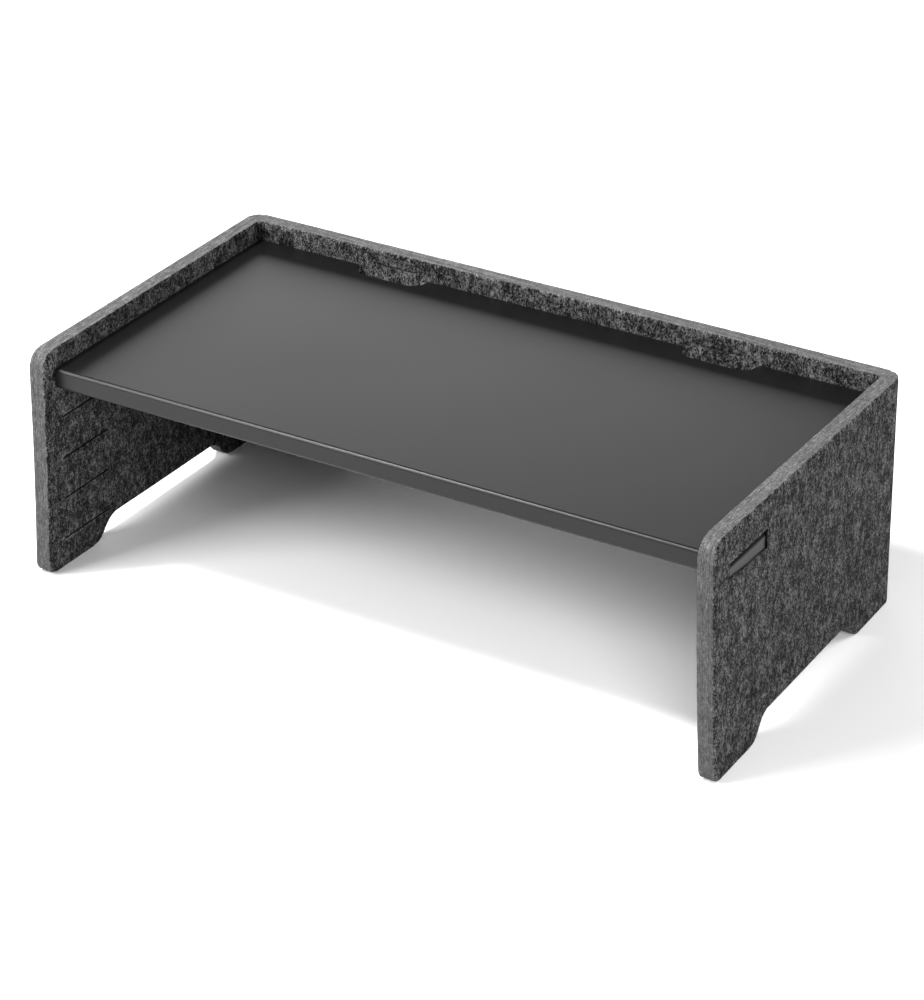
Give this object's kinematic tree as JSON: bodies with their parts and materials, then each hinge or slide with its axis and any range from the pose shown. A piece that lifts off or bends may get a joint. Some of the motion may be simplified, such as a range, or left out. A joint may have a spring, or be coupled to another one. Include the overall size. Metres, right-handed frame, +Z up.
{
  "type": "monitor riser stand",
  "caption": "Monitor riser stand: a U-shaped felt wrap with fold-out wings that carries a bent steel shelf hooked into slits in the felt.",
  "frame": {"origin": "on the floor, under the middle of the outline", "axes": "+X to the right along the length, +Y to the back wall, +Z up"},
  "size_m": [0.5, 0.262, 0.165],
  "materials": {
    "felt": "pressed heather anthracite felt board",
    "shelf_steel": "satin black powder coat"
  },
  "bodies": {
    "back": {"back_panel": "felt", "left_corner_skin": "felt", "right_corner_skin": "felt", "shelf": "shelf_steel"},
    "left_side": {"left_wing": "felt"},
    "right_side": {"right_wing": "felt"}
  },
  "joints": [
    {"name": "left_wing_fold", "type": "hinge", "parent": "back", "child": "left_side", "pos_m": [-0.24546, 0.12646, 0], "axis": [0, 0, -1], "range_deg": [0, 90], "deforming": ["left_corner_skin"]},
    {"name": "right_wing_fold", "type": "hinge", "parent": "back", "child": "right_side", "pos_m": [0.24546, 0.12646, 0], "axis": [0, 0, 1], "range_deg": [0, 90], "deforming": ["right_corner_skin"]}
  ]
}
